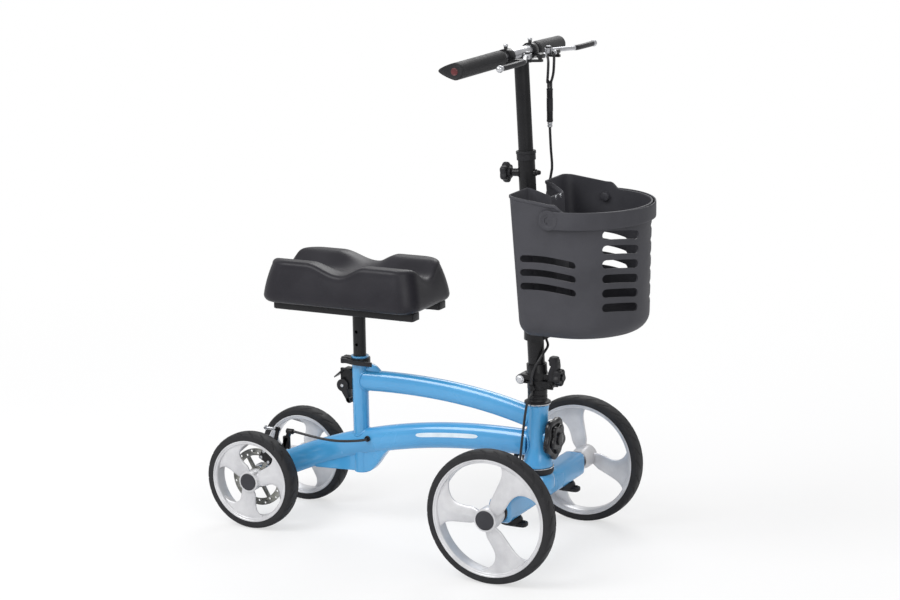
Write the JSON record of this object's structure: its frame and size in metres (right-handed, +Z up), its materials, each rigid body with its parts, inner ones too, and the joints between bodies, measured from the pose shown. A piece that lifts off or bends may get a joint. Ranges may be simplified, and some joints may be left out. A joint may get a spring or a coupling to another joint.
{
  "type": "knee walker",
  "caption": "Four-wheel knee walker with a steering column that folds, a shaped knee pad on a sliding post, a front basket and a hand-operated disc brake.",
  "frame": {"origin": "middle of the footprint on the ground", "axes": "+X is the way it rolls, +Y is its left side, +Z is up"},
  "size_m": [0.8986, 0.4686, 0.9703],
  "materials": {
    "frame_paint": "glossy light blue powder coat",
    "wheel_resin": "silver-grey moulded resin",
    "tyre_rubber": "solid dark grey rubber",
    "black_plastic": "satin black moulded plastic",
    "basket_plastic": "fine-grained charcoal plastic",
    "black_paint": "satin black paint",
    "bright_steel": "zinc-plated steel",
    "rotor_steel": "ground dark steel",
    "grip_rubber": "soft matt rubber",
    "pad_vinyl": "self-skinned dark grey foam with a fine grain",
    "cable_sheath": "black cable sheath"
  },
  "bodies": {
    "frame": {"main_frame": "frame_paint", "rear_axle": "bright_steel", "seat_clamp_collar": "black_paint", "headset_upper_cup": "black_plastic", "headset_lower_cup": "black_plastic", "seat_pin_bracket": "black_paint", "caliper_bracket": "bright_steel", "caliper_body": "black_paint", "cable_grommet_rear": "black_plastic", "cable_grommet_front": "black_plastic", "cable_rear": "cable_sheath"},
    "rear_right_roller": {"wheel_rear_right": "wheel_resin", "tyre_rear_right": "tyre_rubber", "hub_cap_rear_right": "black_plastic", "brake_rotor": "rotor_steel"},
    "rear_left_roller": {"wheel_rear_left": "wheel_resin", "tyre_rear_left": "tyre_rubber", "hub_cap_rear_left": "black_plastic"},
    "front_right_roller": {"wheel_front_right": "wheel_resin", "tyre_front_right": "tyre_rubber", "hub_cap_front_right": "black_plastic"},
    "front_left_roller": {"wheel_front_left": "wheel_resin", "tyre_front_left": "tyre_rubber", "hub_cap_front_left": "black_plastic"},
    "steering": {"front_axle_beam": "frame_paint", "headset_lock_nut": "black_paint", "fold_base": "black_paint", "fold_pin": "bright_steel", "front_axle_right": "black_paint", "front_axle_left": "black_paint", "cable_lower": "cable_sheath"},
    "column": {"column_tube": "black_paint", "fold_yoke": "black_paint", "column_collar": "black_plastic", "basket_bracket": "black_plastic", "basket": "basket_plastic", "cable_middle": "cable_sheath"},
    "handlebar": {"stem": "black_paint", "grip_right": "grip_rubber", "grip_left": "grip_rubber", "lever_perch_right": "black_paint", "lever_perch_left": "black_paint", "cable_right": "cable_sheath", "cable_left": "cable_sheath", "cable_splitter": "black_plastic", "cable_upper": "cable_sheath"},
    "seat": {"seat_post": "black_paint", "seat_frame": "black_paint", "knee_pad": "pad_vinyl"},
    "carrying_handle": {"basket_handle": "basket_plastic"},
    "right_lever": {"brake_lever_right": "black_plastic"},
    "left_lever": {"brake_lever_left": "black_plastic"},
    "brake_arm": {"caliper_arm": "bright_steel"},
    "clamp_lever": {"seat_clamp_lever": "black_plastic"},
    "pin_trigger": {"seat_pin_trigger": "black_plastic"},
    "latch": {"fold_latch": "black_plastic"},
    "steering_knob": {"steering_lock_knob": "black_plastic"},
    "stem_knob": {"height_knob": "black_plastic"},
    "right_release": {"axle_release_right": "black_plastic"},
    "left_release": {"axle_release_left": "black_plastic"}
  },
  "joints": [
    {"name": "rear_right_spin", "type": "hinge", "parent": "frame", "child": "rear_right_roller", "pos_m": [-0.35175, -0.1033, 0.0975], "axis": [0, 1, 0], "continuous": true},
    {"name": "rear_left_spin", "type": "hinge", "parent": "frame", "child": "rear_left_roller", "pos_m": [-0.35175, 0.1033, 0.0975], "axis": [0, 1, 0], "continuous": true},
    {"name": "steer", "type": "hinge", "parent": "frame", "child": "steering", "pos_m": [0.22045, 0, 0.2286], "axis": [0, 0, 1], "range_deg": [-40, 40], "deforming": ["cable_lower"]},
    {"name": "front_right_spin", "type": "hinge", "parent": "steering", "child": "front_right_roller", "pos_m": [0.22045, -0.20575, 0.127], "axis": [0, 1, 0], "continuous": true},
    {"name": "front_left_spin", "type": "hinge", "parent": "steering", "child": "front_left_roller", "pos_m": [0.22045, 0.20575, 0.127], "axis": [0, 1, 0], "continuous": true},
    {"name": "column_fold", "type": "hinge", "parent": "steering", "child": "column", "pos_m": [0.19245, 0, 0.3385], "axis": [0, -1, 0], "range_deg": [0, 30], "deforming": ["cable_middle"]},
    {"name": "stem_slide", "type": "slide", "parent": "column", "child": "handlebar", "axis": [-0.0462, 0, 0.9989], "range_m": [-0.08, 0.09], "deforming": ["cable_upper"]},
    {"name": "seat_height", "type": "slide", "parent": "frame", "child": "seat", "axis": [0, 0, 1], "range_m": [-0.0508, 0.0508]},
    {"name": "carrying_handle_swing", "type": "hinge", "parent": "column", "child": "carrying_handle", "pos_m": [0.30625, 0, 0.672], "axis": [0, -1, 0], "range_deg": [0, 95]},
    {"name": "right_lever_squeeze", "type": "hinge", "parent": "handlebar", "child": "right_lever", "pos_m": [0.22678, -0.046, 0.95284], "axis": [0, 0, -1], "range_deg": [0, 14], "stiffness_Nm_per_rad": 2, "springref_deg": -11.46},
    {"name": "left_lever_squeeze", "type": "hinge", "parent": "handlebar", "child": "left_lever", "pos_m": [0.22678, 0.046, 0.95284], "axis": [0, 0, 1], "range_deg": [0, 14], "stiffness_Nm_per_rad": 2, "springref_deg": -11.46},
    {"name": "brake_arm_swing", "type": "hinge", "parent": "frame", "child": "brake_arm", "pos_m": [-0.33269, -0.059, 0.144], "axis": [0, 1, 0], "range_deg": [0, 12], "stiffness_Nm_per_rad": 0.5, "springref_deg": -5.73},
    {"name": "clamp_lever_swing", "type": "hinge", "parent": "frame", "child": "clamp_lever", "pos_m": [-0.19015, -0.0158, 0.3335], "axis": [0, 0, -1], "range_deg": [0, 110]},
    {"name": "pin_trigger_pull", "type": "hinge", "parent": "frame", "child": "pin_trigger", "pos_m": [-0.19775, 0, 0.283], "axis": [0, 1, 0], "range_deg": [0, 25], "stiffness_Nm_per_rad": 0.5, "springref_deg": -17.19},
    {"name": "latch_swing", "type": "hinge", "parent": "steering", "child": "latch", "pos_m": [0.25125, 0, 0.3295], "axis": [0, 1, 0], "range_deg": [0, 75]},
    {"name": "steering_knob_turn", "type": "hinge", "parent": "frame", "child": "steering_knob", "pos_m": [0.25025, 0, 0.226], "axis": [1, 0, 0], "continuous": true},
    {"name": "stem_knob_turn", "type": "hinge", "parent": "column", "child": "stem_knob", "pos_m": [0.20228, 0, 0.73108], "axis": [-0.9989, 0, -0.0462], "continuous": true},
    {"name": "right_release_pull", "type": "slide", "parent": "steering", "child": "right_release", "axis": [0, 0, -1], "range_m": [0, 0.006], "stiffness_N_per_m": 500, "springref_m": -0.004},
    {"name": "left_release_pull", "type": "slide", "parent": "steering", "child": "left_release", "axis": [0, 0, -1], "range_m": [0, 0.006], "stiffness_N_per_m": 500, "springref_m": -0.004}
  ],
  "couplings": [
    {"joint": "brake_arm_swing", "follows": "right_lever_squeeze", "ratio": 0.85}
  ]
}
